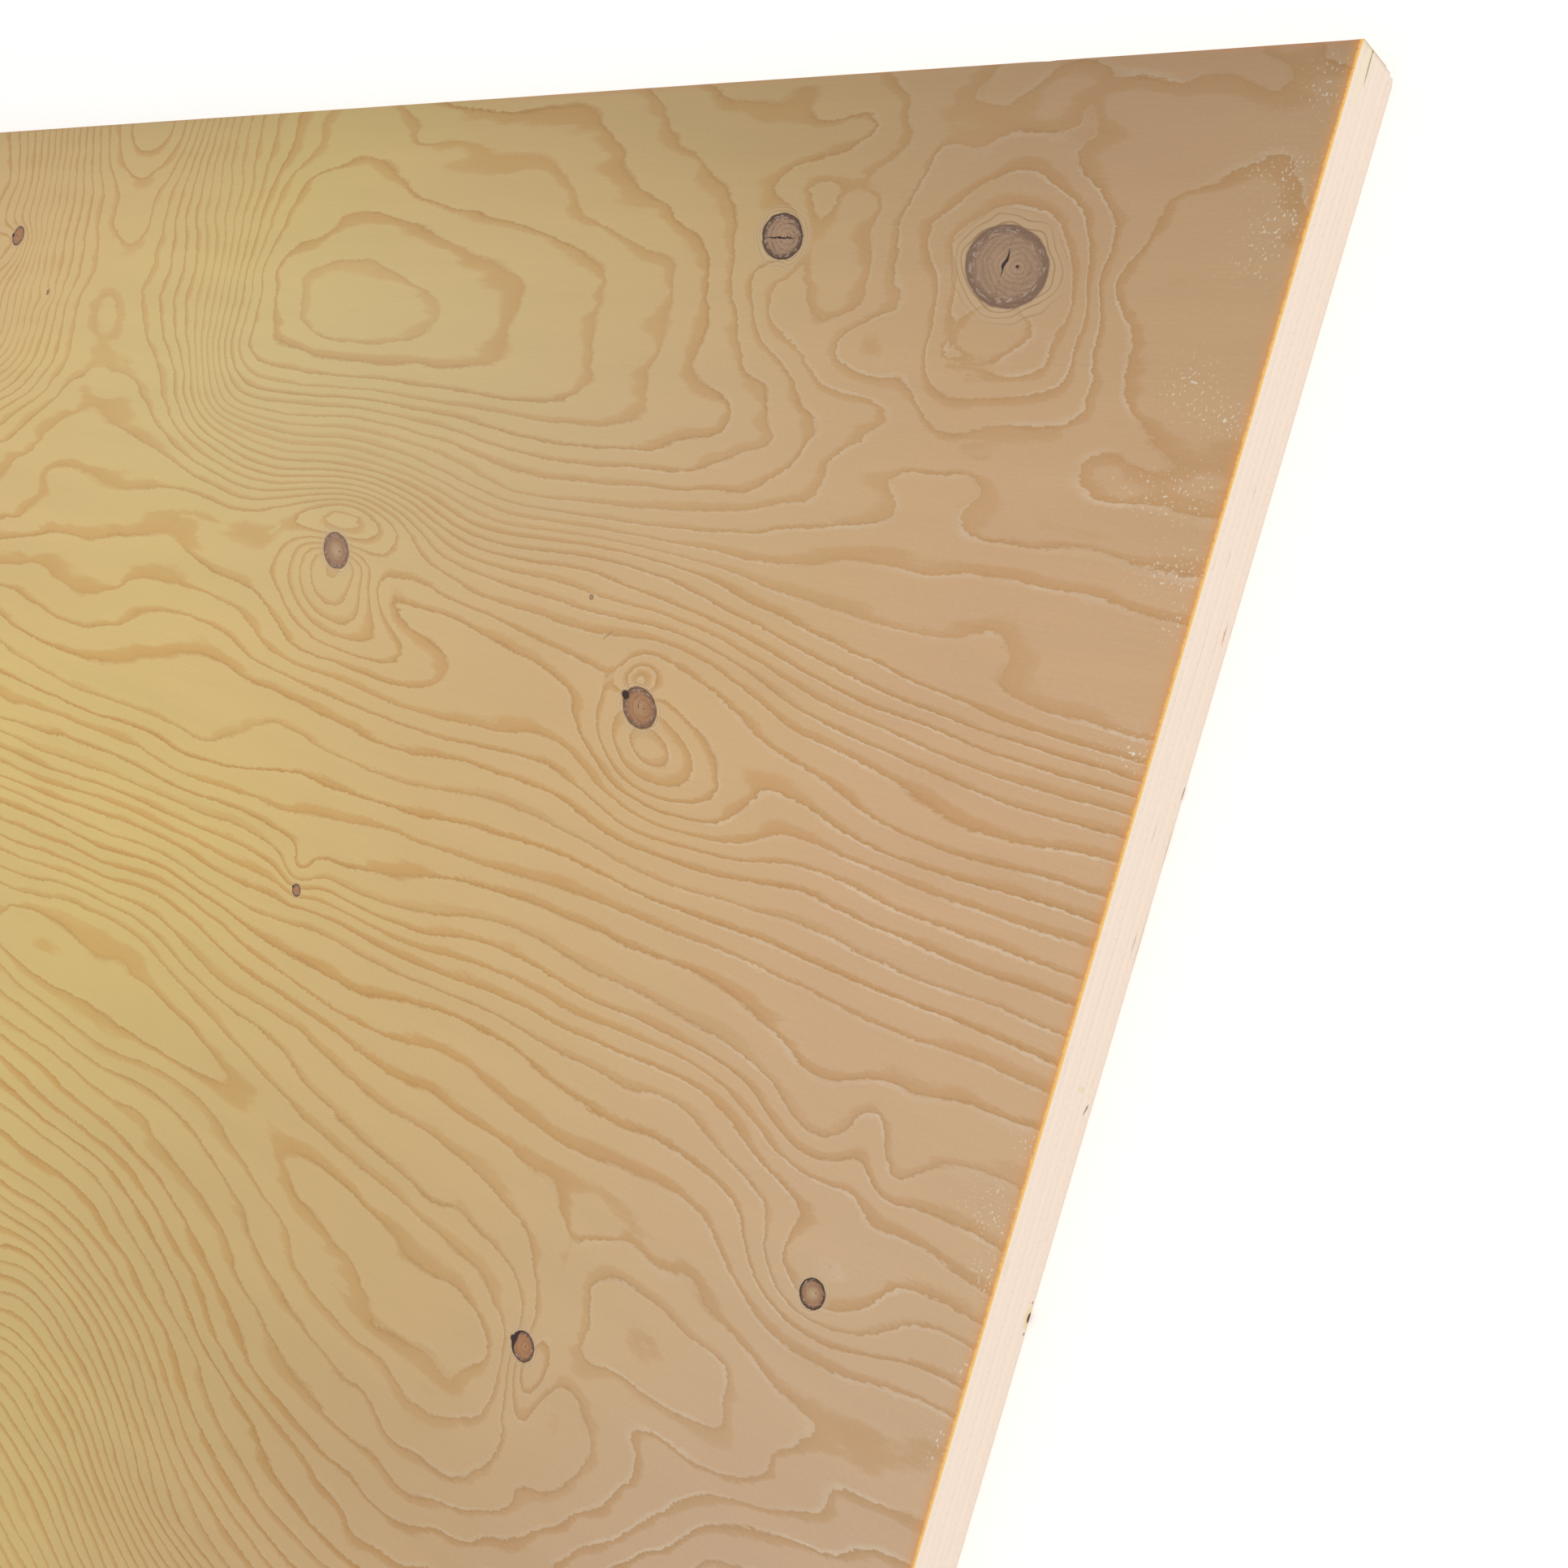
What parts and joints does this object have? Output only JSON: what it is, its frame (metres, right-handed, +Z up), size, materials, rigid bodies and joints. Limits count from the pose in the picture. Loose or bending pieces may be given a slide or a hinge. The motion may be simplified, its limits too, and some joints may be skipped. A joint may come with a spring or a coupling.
{
  "type": "plywood sheet",
  "caption": "Flat rectangular sheet of spruce plywood, cross-laid peeled veneers glued and sawn square, with a sanded knotty face; stock for cutting, cladding and decking.",
  "frame": {"origin": "middle of the underside of the sheet as it lies flat, on the plane that it rests on", "axes": "+X along the grain of the face veneer, which is the sheet's length; +Y across that grain, along its width; +Z up, out of the face veneer"},
  "size_m": [2.44, 1.22, 0.018],
  "materials": {
    "face_spruce": "rotary-peeled spruce, sanded, bare, with knots and orange-tan latewood lines",
    "back_spruce": "rotary-peeled spruce, lightly sanded, bare, a plainer grade than the face",
    "crossband_spruce": "sawn veneer edge, bare spruce",
    "long_band_spruce": "sawn veneer edge, bare spruce"
  },
  "bodies": {
    "root": {"back_veneer": "back_spruce", "lower_crossband": "crossband_spruce", "lower_long_band": "long_band_spruce", "centre_crossband": "crossband_spruce", "upper_long_band": "long_band_spruce", "upper_crossband": "crossband_spruce", "face_veneer": "face_spruce"}
  },
  "joints": []
}
